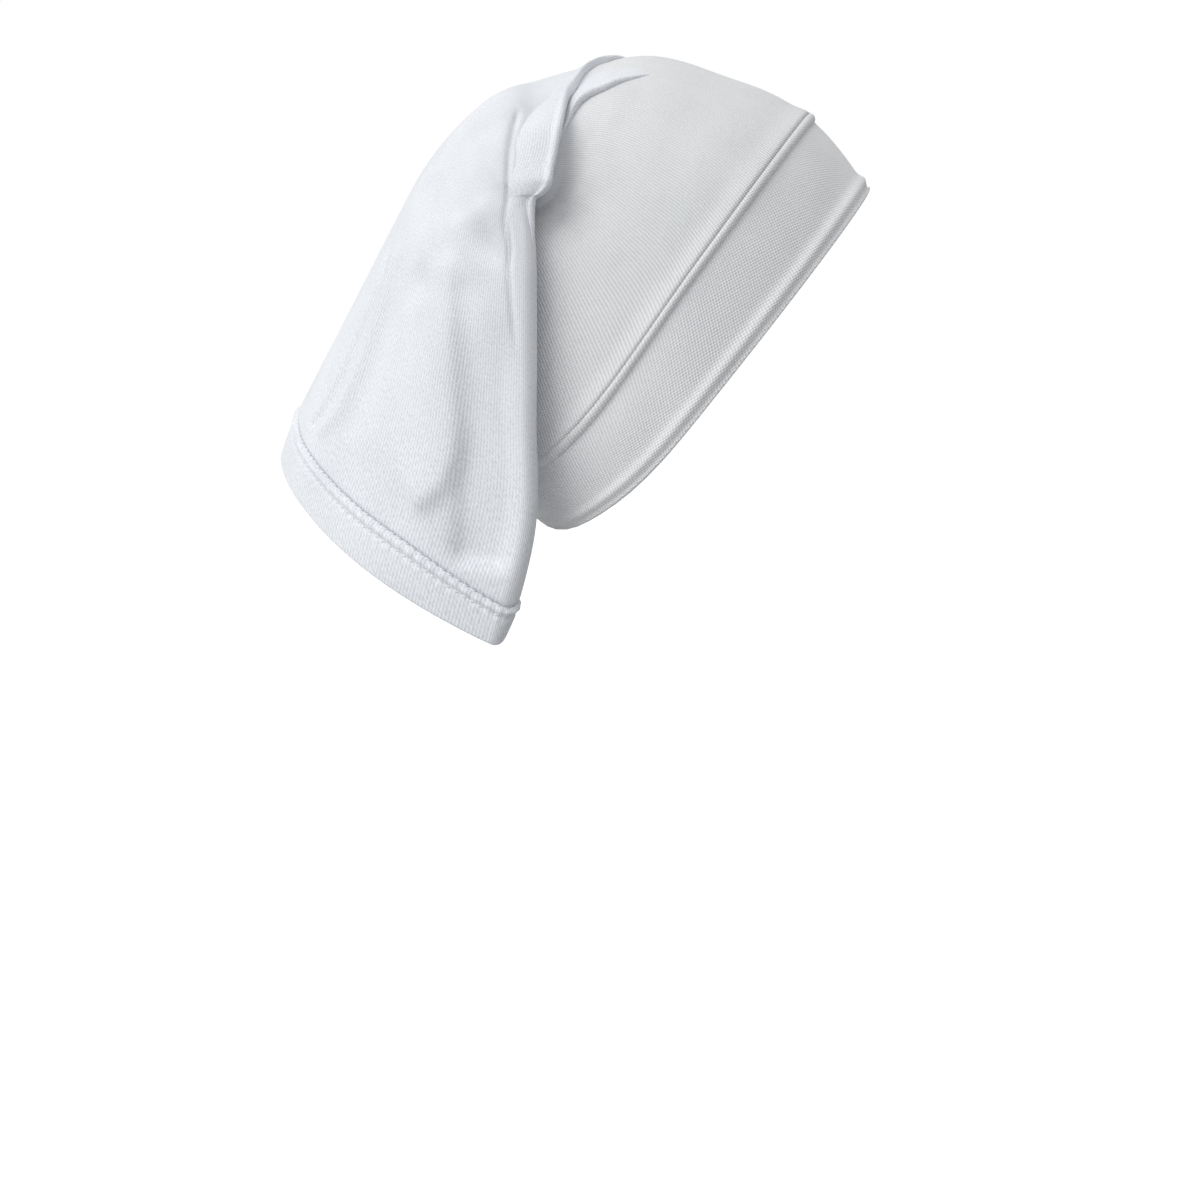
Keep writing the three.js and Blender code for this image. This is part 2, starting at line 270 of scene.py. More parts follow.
def fold_rise(at, angle):
    """How far the folds raise the cloth, below zero in a valley."""
    shape = np.broadcast(at, angle).shape
    at, angle = (np.broadcast_to(v, shape).ravel().astype(float) for v in (at, angle))
    turned = np.abs(angle)
    rise = np.zeros(len(at))
    base, out = tube_point(at, angle), directions(at, angle)[2]
    for fold in FOLDS:
        stations, turns = zip(*fold["places"])
        reached = (at > min(stations) - STATION_REACH) & (at < max(stations) + STATION_REACH)
        reached &= (turned > min(turns) - TOP_REACH) & (turned < max(turns) + NAPE_REACH)
        for side in (-1, 1):
            close = reached & ((angle > 0) == (side > 0))
            if not close.any():
                continue
            line = fold_line(fold["places"], side)
            across, along, length = (measure / MM for measure in
                                     beside_line(line, side, base[close], out[close]))
            (start, end), (appear, go), (right, left) = fold["rise"], fold["fade"], fold["spread"]
            high = start + (end - start) * along / length
            held = smoothstep(along, 0, appear) * smoothstep(length - along, 0, go)
            bell = np.exp(-(across / np.where(across < 0, right, left))**2)
            rise[close] += high * bell * held * MM
    return rise.reshape(shape)


def outer_point(at, angle, lift):
    """A place on the folded cloth, at a height off the sections above."""
    at, angle, lift = np.broadcast_arrays(at, angle, lift)
    height = (lift + fold_rise(at, angle))[..., None]
    return tube_point(at, angle) + directions(at, angle)[2] * height


def inner_point(at, angle, lift):
    """The same on the back of the cloth, which follows only the hollows."""
    at, angle, lift = np.broadcast_arrays(at, angle, lift)
    height = (lift + np.minimum(fold_rise(at, angle), 0))[..., None]
    return tube_point(at, angle) + directions(at, angle)[2] * height


def new_piece(name, points, faces):
    """A smooth mesh, linked into the scene. Each face is a row of the points' numbers."""
    mesh = bpy.data.meshes.new(name)
    mesh.from_pydata(points.reshape(-1, 3).tolist(), [], faces)
    mesh.polygons.foreach_set("use_smooth", np.ones(len(faces), dtype=bool))
    mesh.update()
    piece = bpy.data.objects.new(name, mesh)
    bpy.context.collection.objects.link(piece)
    return piece


def strip(name, outer, inner, angle):
    """A closed strip of cloth round the tube, from its outer and inner rows of (station, lift)."""
    angle = np.asarray(angle, float)[None, :]

    def spread_rows(rows):
        return (np.vstack([np.broadcast_to(value, angle.shape) for value in column])
                for column in zip(*rows))

    outer_at, outer_lift = spread_rows(outer)
    inner_at, inner_lift = spread_rows(inner)
    points = np.vstack([outer_point(outer_at, angle, outer_lift),
                        inner_point(inner_at, angle, inner_lift)])
    at = np.vstack([outer_at, inner_at])
    rows, columns = at.shape
    i, j = np.meshgrid(np.arange(rows), np.arange(columns), indexing="ij")
    up, on = (i + 1) % rows, (j + 1) % columns
    quads = np.stack([i * columns + j, i * columns + on, up * columns + on, up * columns + j], -1)
    piece = new_piece(name, points, quads.reshape(-1, 4).tolist())
    # the cloth's own grain: millimetres round the tube and along it
    turned = np.broadcast_to(angle / 360 * TUBE_ROUND / MM, at.shape)
    ran = at * TUBE_LENGTH / MM
    round_end = np.where(on < j, turned[i, j * 0] + TUBE_ROUND / MM, turned[i, on])
    corners = np.stack([np.stack([turned, ran], -1), np.stack([round_end, ran[i, on]], -1),
                        np.stack([round_end, ran[up, on]], -1),
                        np.stack([turned, ran[up, j]], -1)], 2)
    grain = piece.data.uv_layers.new(name="grain")
    grain.data.foreach_set("uv", corners.reshape(-1).astype(np.float32))
    return piece


def columns_round(spans):
    """Angles round the tube, from spans of (from, to, gap). Each span leaves its end out."""
    angles = []
    for start, end, gap in spans:
        count = max(1, round(abs(end - start) / gap))
        angles += [start + (end - start) * k / count for k in range(count)]
    return np.array(angles)


def rows_along(start, steps, lift):
    """Rows of the strip from a station, or line of stations, on through steps of (station, how
    many rows up to it). The last station is left out."""
    rows = []
    for end, count in steps:
        rows += [(start + (end - start) * k / count, lift) for k in range(count)]
        start = end
    return rows


# finer round the wearer's right side, where the folds gather
ROUND_THE_TUBE = columns_round([
    (-180, -98, 4.5), (-98, -84, 1.0), (-84, -14, 0.5), (-14, 0, 1.4),
    (0, 14, 1.4), (14, 84, 1.4), (84, 98, 1.6), (98, 180, 4.5)])
HEM_ROW = 0.0152              # the hem's upper row of stitches, from its edge
CORNER_AT = 93                # degrees round the ring where the hem's corners are
CORNER_ROUND = 0.0046         # how far they are drawn up
CORNER_DEGREES, CORNER_INSIDE = 6.0, 13.0    # over how much of the ring, out and inside
# The rows of stitches lie further from the edge at the back and closer to it at the corners:
# between which degrees round the ring this changes, and its share.
BACK_UNTIL, BACK_GONE, BACK_MORE = 8, 30, 0.25
CORNER_FROM, CORNER_FULL, CORNER_LESS = 60, 86, 0.22


def hem_station(angle, into):
    """The station at a distance up from the hem's edge, whose corners are a little round."""
    past = np.abs(angle) - CORNER_AT
    drawn_up = CORNER_ROUND * np.exp(-(past / np.where(past > 0, CORNER_INSIDE, CORNER_DEGREES))**2)
    return moved_along(np.ones_like(angle), angle, -(into + drawn_up))


def hem_row(angle, into):
    """A row of the hem runs closer to the edge at the corners and further in at the back."""
    at_the_back = 1 - smoothstep(np.abs(angle), BACK_UNTIL, BACK_GONE)
    at_the_corners = smoothstep(np.abs(angle), CORNER_FROM, CORNER_FULL)
    return into * (1 + BACK_MORE * at_the_back - CORNER_LESS * at_the_corners)


BESIDE_THE_TUCK = 0.0012      # from the tuck's middle to where tube and band end under it
HEM_GAP = 0.0002              # between the tube's end and the hem
CLOSE_FROM, CLOSE_ROWS = 0.94, 16     # the rows lie close from this station to the hem
OUTER_STEPS = [(0.36, 34), (0.575, 125), (CLOSE_FROM, 85)]    # from the tuck
INNER_STEPS = [(0.60, 26), (0.36, 28)]        # from the hem, and then
TUCK_ROWS = 12                                # this many to the tuck
LENGTH_AT_TUCK, LENGTH_AT_HEM = 0.27, 0.6     # metres of cloth to one station
GROOVE, GROOVE_WIDE = 0.0005, 0.0008          # how the hem's stitches pull the cloth in
SEAM_RISE, SEAM_WIDE = 0.0015, 0.0048         # how it rises to its seam beside the tuck
BACK_LIFT = -0.0004                           # where its back lies off the sections
END_WALL, END_STATIONS = 0.0004, 0.006        # the wall at the tube's end, and where it thins

tuck_line = np.full_like(ROUND_THE_TUBE, TUCK_AT)
tube_start = moved_along(tuck_line, ROUND_THE_TUBE, BESIDE_THE_TUCK)
tube_end = hem_station(ROUND_THE_TUBE, hem_row(ROUND_THE_TUBE, HEM_ROW) + HEM_GAP)
outer_rows = rows_along(tube_start, OUTER_STEPS, CLOTH_OUTSIDE)
for k in range(CLOSE_ROWS + 1):
    left = (1 - k / CLOSE_ROWS) * (tube_end - CLOSE_FROM)
    pulled_in = GROOVE * np.exp(-(left * LENGTH_AT_HEM / GROOVE_WIDE)**2)
    outer_rows.append((tube_end - left, CLOTH_OUTSIDE - pulled_in))
outer_rows = [(at, lift + SEAM_RISE * np.exp(-((at - tube_start) * LENGTH_AT_TUCK / SEAM_WIDE)**2))
              for at, lift in outer_rows]
inner_rows = [(tube_end, CLOTH_OUTSIDE - GROOVE - END_WALL)]
inner_rows += rows_along(tube_end - END_STATIONS, [*INNER_STEPS, (tube_start, TUCK_ROWS)],
                         BACK_LIFT)
inner_rows.append((tube_start, BACK_LIFT))
tube = strip("jersey_tube", outer_rows, inner_rows, ROUND_THE_TUBE)

WALE = 0.86                   # millimetres between the knit's ribs, which run along the tube
COURSE = 0.82                 # and between its rows of loops
RIB_WANDER = 1.6              # how far a rib strays sideways, in radians of its wave
LOOP_DEPTH, SLUB_DEPTH = 0.6, 1.2     # beside the ribs' 1
OPEN_UP_TO, CLOSED_FROM = 128, 152    # millimetres along the tube
CLOSED_SHOWS = 0.50           # how much of the knit still shows where it has closed up
KNIT_TONE, MOTTLE = 0.50, 1.6         # how much the knit and its unevenness show as tone
TONE_SHIFT = 0.65                     # which is then shifted towards the shade
JERSEY_WHITE = (0.860, 0.865, 0.890, 1)
JERSEY_SHADE = (0.650, 0.657, 0.690, 1)
TIGHT_TINT = (1.000, 0.993, 0.972, 1)
LOOSE_TINT = (0.940, 0.972, 1.000, 1)


def jersey_material(name, knit_depth, roughness):
    """Fine single jersey: ribs of small loops, a little uneven, with a soft satin sheen."""
    material = bpy.data.materials.new(name)
    material.use_nodes = True
    nodes, links = material.node_tree.nodes, material.node_tree.links
    shader = nodes["Principled BSDF"]
    grain = nodes.new("ShaderNodeUVMap")
    grain.uv_map = "grain"
    split = nodes.new("ShaderNodeSeparateXYZ")
    links.new(grain.outputs["UV"], split.inputs["Vector"])

    def maths(operation, first, second=None):
        node = nodes.new("ShaderNodeMath")
        node.operation = operation
        for socket, value in zip(node.inputs, (first, second)):
            if hasattr(value, "links"):
                links.new(value, socket)
            elif value is not None:
                socket.default_value = value
        return node.outputs["Value"]

    def noise(scale, detail):
        node = nodes.new("ShaderNodeTexNoise")
        node.inputs["Scale"].default_value = scale
        node.inputs["Detail"].default_value = detail
        links.new(grain.outputs["UV"], node.inputs["Vector"])
        return node.outputs["Fac"]

    across, along = split.outputs["X"], split.outputs["Y"]
    wander = maths("MULTIPLY", noise(scale=0.35, detail=2), RIB_WANDER)
    ribs = maths("SINE", maths("ADD", maths("MULTIPLY", across, 2 * math.pi / WALE), wander))
    lean = maths("MULTIPLY", across, math.pi / WALE)
    loops = maths("SINE", maths("ADD", maths("MULTIPLY", along, 2 * math.pi / COURSE), lean))
    knit = maths("ADD", ribs, maths("MULTIPLY", loops, LOOP_DEPTH))
    slub = maths("MULTIPLY", noise(scale=0.8, detail=3), SLUB_DEPTH)
    height = maths("ADD", knit, slub)

    # drawn tight over the head the knit opens and shows; in the loose tail it closes up
    tightness = nodes.new("ShaderNodeMapRange")
    for socket, value in (("From Min", OPEN_UP_TO), ("From Max", CLOSED_FROM),
                          ("To Min", 1.0), ("To Max", CLOSED_SHOWS)):
        tightness.inputs[socket].default_value = value
    links.new(along, tightness.inputs["Value"])
    opened = tightness.outputs["Result"]

    tone = nodes.new("ShaderNodeMix")
    tone.data_type = "RGBA"
    tone.inputs["A"].default_value = JERSEY_SHADE
    tone.inputs["B"].default_value = JERSEY_WHITE
    shown = maths("MULTIPLY", knit, maths("MULTIPLY", opened, KNIT_TONE))
    uneven = maths("ADD", noise(scale=0.05, detail=3),
                   maths("MULTIPLY", noise(scale=1.4, detail=1), MOTTLE))
    links.new(maths("SUBTRACT", maths("ADD", shown, uneven), TONE_SHIFT), tone.inputs["Factor"])
    # the tight crown looks a little warmer, the loose tail a little cooler
    tint = nodes.new("ShaderNodeMix")
    tint.data_type = "RGBA"
    tint.inputs["A"].default_value = LOOSE_TINT
    tint.inputs["B"].default_value = TIGHT_TINT
    links.new(opened, tint.inputs["Factor"])
    tinted = nodes.new("ShaderNodeMix")
    tinted.data_type = "RGBA"
    tinted.blend_type = "MULTIPLY"
    tinted.inputs["Factor"].default_value = 1.0
    links.new(tone.outputs["Result"], tinted.inputs["A"])
    links.new(tint.outputs["Result"], tinted.inputs["B"])
    links.new(tinted.outputs["Result"], shader.inputs["Base Color"])

    bump = nodes.new("ShaderNodeBump")
    links.new(maths("MULTIPLY", opened, 0.6), bump.inputs["Strength"])
    bump.inputs["Distance"].default_value = knit_depth
    links.new(height, bump.inputs["Height"])
    links.new(bump.outputs["Normal"], shader.inputs["Normal"])
    shader.inputs["Roughness"].default_value = roughness
    shader.inputs["Specular IOR Level"].default_value = 0.35
    shader.inputs["Sheen Weight"].default_value = 0.25
    shader.inputs["Sheen Roughness"].default_value = 0.4
    return material


jersey = jersey_material("white_jersey", knit_depth=0.00010, roughness=0.55)
tube.data.materials.append(jersey)
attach(tube, "root")
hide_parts("crown_tube")

# ---- The rolls at the turn ---------------------------------------------------------------
# Where the tube turns over at each side of the head its jersey gathers into a thick soft roll.
# It comes over the crown, hangs over the turn and runs out into the tail's rounded side edge.
# Nothing holds it: it is the cloth's own fullness. A smaller pleat lies in front of it.
ROLL_STEPS = 8                # smooth steps between the rows below
ROLL_FALL = 0.88              # how far past its crest a section has come when it turns under
ROLL_ACROSS = 26              # points over a section's top
BACK_POINTS = 10              # and along its back
EDGE_SHARE, EDGE_LEAST = 0.30, 0.0003    # the free edge's radius: a share of the crest, and more
BACK_SAG = 0.0006             # how far the back hangs below a straight line
# One row for each section, in millimetres: the free edge (out from the middle, back, up), the
# edge that lies in the cloth, how high the section is arched and where its crest lies.
ROLL_COLUMNS = ("edgeOut", "edgeBack", "edgeUp", "lowOut", "lowBack", "lowUp", "crest", "crestAt")
ROLL = np.array([
    (4.9, 4.9, -0.9, 5.9, 16.1, -2.8, 0.0, 0.60),
    (20.7, 8.7, -2.6, 22.1, 20.4, -5.9, 1.4, 0.60),
    (34.1, 14.5, -7.7, 31.8, 25.9, -10.9, 2.9, 0.60),
    (38.1, 19.1, -10.6, 44.0, 30.5, -18.9, 3.9, 0.60),
    (44.4, 22.7, -15.4, 52.1, 33.5, -26.1, 4.1, 0.60),
    (53.1, 26.1, -23.3, 58.2, 37.1, -32.8, 4.1, 0.60),
    (58.1, 28.3, -28.4, 64.2, 40.7, -37.5, 3.9, 0.60),
    (71.0, 30.0, -41.9, 71.1, 42.8, -43.9, 3.6, 0.58),
    (75.0, 30.9, -48.4, 75.0, 44.5, -49.6, 3.6, 0.60),
    (77.9, 31.7, -53.8, 77.1, 45.5, -54.4, 3.5, 0.60),
    (80.1, 32.5, -58.3, 78.7, 45.8, -58.5, 3.3, 0.60),
    (81.4, 32.9, -61.8, 79.8, 46.0, -61.6, 3.2, 0.60),
    (81.1, 33.6, -63.7, 80.3, 46.0, -63.6, 3.2, 0.60),
    (80.6, 35.6, -65.7, 80.5, 45.9, -65.7, 3.2, 0.60),
    (79.9, 37.8, -67.4, 80.7, 46.1, -67.7, 3.2, 0.60),
    (79.1, 38.3, -76.0, 82.2, 46.8, -76.1, 3.8, 0.53),
    (80.0, 38.3, -86.0, 82.6, 47.5, -85.9, 4.0, 0.53),
    (80.7, 38.4, -98.0, 83.3, 48.5, -98.0, 3.6, 0.53),
    (80.7, 38.8, -112.1, 82.5, 49.3, -112.0, 3.3, 0.53),
    (80.6, 39.3, -127.1, 81.3, 50.4, -126.8, 2.8, 0.53),
    (80.6, 39.5, -142.9, 80.6, 51.2, -143.2, 2.0, 0.53),
])
# The pleat, measured the same way.
PLEAT = np.array([
    (47.4, -4.0, -18.9, 42.1, -0.9, -14.0, 0.0, 0.60),
    (52.8, 3.9, -21.4, 42.6, 7.2, -13.5, 0.8, 0.60),
    (55.8, 11.8, -24.0, 42.0, 15.4, -14.3, 2.2, 0.60),
    (57.0, 16.1, -26.1, 41.6, 19.1, -14.8, 2.9, 0.60),
    (57.7, 20.5, -28.0, 45.9, 22.4, -18.8, 3.2, 0.60),
    (59.0, 23.9, -30.5, 50.3, 25.2, -23.5, 3.2, 0.60),
    (61.3, 26.5, -34.6, 54.5, 27.5, -28.3, 2.8, 0.60),
    (63.3, 28.2, -38.9, 58.2, 29.1, -33.3, 1.8, 0.60),
    (64.7, 29.9, -42.9, 61.3, 30.6, -38.1, 1.3, 0.60),
    (65.1, 31.6, -46.6, 63.4, 31.7, -43.1, 0.2, 0.60),
])
# The left roll lies further back, and below a height it goes back with the tail's left edge,
# by a share of the drop.
LEFT_ROLL_BACK, LEFT_EDGE_FROM, LEFT_EDGE_BACK = 0.0040, -0.078, 0.16
GRAIN_FROM = 0.5              # the rolls' grain starts halfway along the tube


def gathered_roll(name, table, side):
    """A roll on one side: arched sections whose free edge curls under."""
    row = dict(zip(ROLL_COLUMNS, smooth_rows(table, ROLL_STEPS).T[..., None]))
    edge = np.stack([side * row["edgeOut"], row["edgeBack"], row["edgeUp"]], -1) * MM
    low = np.stack([side * row["lowOut"], row["lowBack"], row["lowUp"]], -1) * MM
    if side > 0:
        below = np.maximum(LEFT_EDGE_FROM - edge[..., 2:], 0)
        set_back = (LEFT_ROLL_BACK + LEFT_EDGE_BACK * below) * (0, 1, 0)
        edge, low = edge + set_back, low + set_back
    crest = row["crest"] * MM
    along = unit(np.gradient(low, axis=0))
    out = unit(np.cross(edge - low, along)) * -side
    share = np.linspace(0, 1, ROLL_ACROSS)[None, :]
    lean = math.log(0.5 / ROLL_FALL) / np.log(row["crestAt"])
    arch = crest * np.sin(math.pi * ROLL_FALL * share**lean)
    top = low + (edge - low) * share[..., None] + out * arch[..., None]
    # the free edge turns under in a half circle and the back runs home below the arch
    onward = unit(top[:, -1:] - top[:, -3:-2])
    up = unit(out - onward * (out * onward).sum(-1, keepdims=True))
    turns = np.radians(np.arange(15, 196, 15))[None, :, None]
    radius = EDGE_SHARE * crest[..., None] + EDGE_LEAST
    nose = top[:, -1:] + radius * (up * (np.cos(turns) - 1) + onward * np.sin(turns))
    home = np.linspace(0.9, 0.05, BACK_POINTS)[None, :, None]
    back = low + (nose[:, -1:] - low) * home - out * (BACK_SAG * np.sin(math.pi * home))
    points = np.concatenate([top, nose, back], 1)

    count, columns = points.shape[:2]
    i, j = np.meshgrid(np.arange(count - 1), np.arange(columns), indexing="ij")
    here, onto, on = i * columns, (i + 1) * columns, (j + 1) % columns
    quads = np.stack([here + j, here + on, onto + on, onto + j], -1)
    faces = quads.reshape(-1, 4).tolist()
    faces += [list(range(columns))[::-1], [(count - 1) * columns + k for k in range(columns)]]
    roll = new_piece(name, points, faces)
    # its grain: millimetres round each section and along the roll
    steps = np.linalg.norm(np.diff(points, axis=1), axis=-1)
    grain_round = np.concatenate([np.zeros((count, 1)), np.cumsum(steps, 1)], 1) / MM
    strides = np.linalg.norm(np.diff(((edge + low) / 2)[:, 0], axis=0), axis=1)
    ran = TUBE_LENGTH * GRAIN_FROM + np.concatenate([[0], np.cumsum(strides)])
    places = np.stack([grain_round, np.repeat(ran[:, None] / MM, columns, 1)], -1).reshape(-1, 2)
    corner = np.zeros(len(roll.data.loops), dtype=np.int32)
    roll.data.loops.foreach_get("vertex_index", corner)
    grain = roll.data.uv_layers.new(name="grain")
    grain.data.foreach_set("uv", places[corner].reshape(-1).astype(np.float32))
    facing = bmesh.new()
    facing.from_mesh(roll.data)
    bmesh.ops.recalc_face_normals(facing, faces=facing.faces)
    facing.to_mesh(roll.data)
    facing.free()
    roll.data.materials.append(jersey)
    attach(roll, "root")
    return roll


rolls = [gathered_roll("right_roll", ROLL, -1), gathered_roll("right_pleat", PLEAT, -1),
         gathered_roll("left_roll", ROLL, 1), gathered_roll("left_pleat", PLEAT, 1)]

# ---- The face band -----------------------------------------------------------------------
# The tube's end, turned in and doubled, so it has a soft round fold for an edge. It hugs the
# brow, dips a little between that fold and the tuck, and is sewn to the tube along the tuck.
BAND_OUTSIDE = CLOTH_OUTSIDE + 0.0003
BAND_THICK = 0.0019
BAND_WIDTH = 0.032
BAND_EDGE, BAND_EDGE_LIFT = 0.0014, 0.0005    # radius of the fold at the edge, and its lift
BAND_SWELL = 0.0006           # how far its middle stands out
FOLD_RISE, FOLD_FROM_EDGE, FOLD_WIDE = 0.0012, 0.0032, 0.0022    # the fold's round back
BAND_ROWS, BAND_BACK_ROWS = 40, 16
# The edge is drawn up where it goes under the tail: by how many stations, at which degrees
# round the ring and over how many.
DRAWN_UP, DRAWN_UP_AT, DRAWN_UP_WIDE = 0.010, 118, 16

band_angle = ROUND_THE_TUBE
band_end = moved_along(tuck_line, band_angle, -BESIDE_THE_TUCK)
band_edge = DRAWN_UP * np.exp(-((np.abs(band_angle) - DRAWN_UP_AT) / DRAWN_UP_WIDE)**2)
band_outer, band_inner = [], []
for k in range(BAND_ROWS + 1):
    share = k / BAND_ROWS
    swell = BAND_SWELL * math.sin(math.pi * share)
    fold = FOLD_RISE * math.exp(-((share * BAND_WIDTH - FOLD_FROM_EDGE) / FOLD_WIDE)**2)
    band_outer.append((band_edge + (band_end - band_edge) * share, BAND_OUTSIDE + swell + fold))
for k in range(BAND_BACK_ROWS + 1):
    band_inner.append((band_end + (band_edge - band_end) * k / BAND_BACK_ROWS,
                       BAND_OUTSIDE - BAND_THICK))
for turn in np.radians(np.arange(-60, 61, 20)):
    band_inner.append((moved_along(band_edge, band_angle, -BAND_EDGE * math.cos(turn)),
                       BAND_OUTSIDE - BAND_THICK / 2 + BAND_EDGE_LIFT + BAND_EDGE * math.sin(turn)))
band = strip("face_band", band_outer, band_inner, band_angle)
band.data.materials.append(jersey)
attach(band, "root")
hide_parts("front_band")

# ---- The tuck ----------------------------------------------------------------------------
# The tube pinched up into a round ridge between band and crown. It is made of two layers of
# the same jersey, and sewn down along both sides.
TUCK_WIDTH, TUCK_RISE = 0.0042, 0.0019
TUCK_SUNK, TUCK_UNDER = 0.0004, 0.0008        # how far its middle and its underside lie lower
tuck_outer, tuck_inner = [], []
for turn in np.radians(np.arange(0, 360, 15)):
    across, up = math.cos(turn), math.sin(turn)
    row = (moved_along(tuck_line, ROUND_THE_TUBE, -TUCK_WIDTH / 2 * across),
           CLOTH_OUTSIDE - TUCK_SUNK + (TUCK_RISE + TUCK_SUNK if up > 0 else TUCK_UNDER) * up)
    (tuck_outer if up >= 0 else tuck_inner).append(row)
tuck = strip("tuck_ridge_roll", tuck_outer, tuck_inner, ROUND_THE_TUBE)
tuck.data.materials.append(jersey)
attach(tuck, "root")
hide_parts("tuck_ridge")

# ---- The rows of stitches ----------------------------------------------------------------
# Machine-sewn rows of short stitches in white polyester thread. One row lies along each side
# of the tuck, made here, and two run round the hem, made with it below.
STITCH_SIDES = 6
STITCH_RINGS = (-1.0, -0.8, -0.3, 0.3, 0.8, 1.0)      # from one end to the other
STITCH_SINKS = 0.6            # how far its ends dip into the cloth, to its thickness
BLUNT = 0.03                  # its ends are a little blunt
AHEAD = 0.0004                # how far ahead a stitch takes its direction from


def stitch_row(name, station, lift, pitch, length, thick, tilt=0):
    """A row of sewn stitches round the tube: short rounded threads laid end to end. station
    gives the row's station at any angle."""
    fine = np.linspace(-180, 180, 1441)
    path = outer_point(station(fine), fine, lift)
    out = directions(station(fine), fine)[2]
    run = np.concatenate([[0], np.cumsum(np.linalg.norm(np.diff(path, axis=0), axis=1))])
    count = int(run[-1] / pitch)

    def on_the(line, place):
        return np.array([np.interp(place, run, line[:, k]) for k in range(3)])

    points, faces = [], []
    for middle in (np.arange(count) + 0.5) * run[-1] / count:
        centre, up = on_the(path, middle), unit(on_the(out, middle))
        along = unit(on_the(path, middle + AHEAD) - centre)
        beside = np.cross(up, along)
        along, beside = (along * math.cos(tilt) + beside * math.sin(tilt),
                         beside * math.cos(tilt) - along * math.sin(tilt))
        first = len(points)
        for ring in STITCH_RINGS:
            fat = thick / 2 * math.sqrt(max(BLUNT, 1 - ring * ring))
            sunk = -STITCH_SINKS * thick * ring * ring
            for k in range(STITCH_SIDES):
                turn = 2 * math.pi * k / STITCH_SIDES
                points.append(centre + along * ring * length / 2
                              + up * (sunk + fat * math.sin(turn)) + beside * fat * math.cos(turn))
        last = len(points) - STITCH_SIDES
        for start in range(first, last, STITCH_SIDES):
            for k in range(STITCH_SIDES):
                a, b = start + k, start + (k + 1) % STITCH_SIDES
                faces.append((a, b, b + STITCH_SIDES, a + STITCH_SIDES))
        faces.append(tuple(first + k for k in reversed(range(STITCH_SIDES))))
        faces.append(tuple(last + k for k in range(STITCH_SIDES)))
    return new_piece(name, np.array(points), faces)


THREAD_WHITE = (0.86, 0.87, 0.90, 1)
THREAD_SHADE = (0.78, 0.79, 0.83, 1)


def thread_material():
    """Polyester thread: whiter than the jersey and a little glossier, with a twist in it."""
    material = bpy.data.materials.new("white_thread")
    material.use_nodes = True
    nodes, links = material.node_tree.nodes, material.node_tree.links
    shader = nodes["Principled BSDF"]
    place = nodes.new("ShaderNodeTexCoord")
    twist = nodes.new("ShaderNodeTexWave")
    twist.inputs["Scale"].default_value = 900
    twist.inputs["Distortion"].default_value = 1.5
    links.new(place.outputs["Object"], twist.inputs["Vector"])
    bump = nodes.new("ShaderNodeBump")
    bump.inputs["Strength"].default_value = 0.4
    bump.inputs["Distance"].default_value = 0.00008
    links.new(twist.outputs["Fac"], bump.inputs["Height"])
    links.new(bump.outputs["Normal"], shader.inputs["Normal"])
    tone = nodes.new("ShaderNodeMix")
    tone.data_type = "RGBA"
    tone.inputs["A"].default_value = THREAD_SHADE
    tone.inputs["B"].default_value = THREAD_WHITE
    links.new(twist.outputs["Fac"], tone.inputs["Factor"])
    links.new(tone.outputs["Result"], shader.inputs["Base Color"])
    shader.inputs["Roughness"].default_value = 0.45
    return material


thread = thread_material()


def sew(name, **row):
    """A row of stitches in its thread."""
    piece = stitch_row(name, **row)
    piece.data.materials.append(thread)
    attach(piece, "root")
    return piece


def beside_tuck(distance):
    """The station of a row at a distance from the tuck's middle, at any angle."""
    return lambda angle: moved_along(np.full_like(angle, TUCK_AT), angle, distance)


TUCK_STITCH = dict(pitch=0.0021, length=0.0014, thick=0.0004)
tuck_top_row = sew("tuck_upper_stitches", station=beside_tuck(0.0024),
                   lift=CLOTH_OUTSIDE + 0.0001, **TUCK_STITCH)
tuck_low_row = sew("tuck_lower_stitches", station=beside_tuck(-0.0025),
                   lift=CLOTH_OUTSIDE + 0.0004, **TUCK_STITCH)

# ---- The hem -----------------------------------------------------------------------------
# The tail's end, turned up inside and sewn down with twin needles, which leaves a soft welt
# between two rows of stitches. The doubled edge stands out a little from the tail.
HEM_OUTSIDE = CLOTH_OUTSIDE + 0.0002
HEM_THICK = 0.0018
LOWER_ROW = 0.0113            # the lower row of stitches, from the hem's edge
HEM_CURL = 0.0013             # how far the edge curls in
HEM_STITCH = dict(pitch=0.0030, length=0.0023, thick=0.0005, tilt=0.25)
WELT_RISE, WELT_WIDE, WELT_PUCKER = 0.0007, 0.0014, 0.25      # between the rows of stitches
GATHER_RISE, GATHER_WIDE, GATHER_BELOW = 0.00012, 0.0010, 0.0012    # below the lower row
TURNED_UP = 0.0008            # how far the inner layer runs on past the upper row
OUTER_ROWS, INNER_ROWS = 44, 12
ROUND_THE_HEM = columns_round([
    (-180, -98, 3), (-98, -84, 0.8), (-84, -4, 0.35), (-4, 84, 0.8), (84, 98, 1.2), (98, 180, 3)])
upper_at, lower_at = hem_row(ROUND_THE_HEM, HEM_ROW), hem_row(ROUND_THE_HEM, LOWER_ROW)
pucker = np.sin(ROUND_THE_HEM / 360 * TUBE_ROUND * 2 * math.pi / HEM_STITCH["pitch"])
hem_outer, hem_inner = [], []
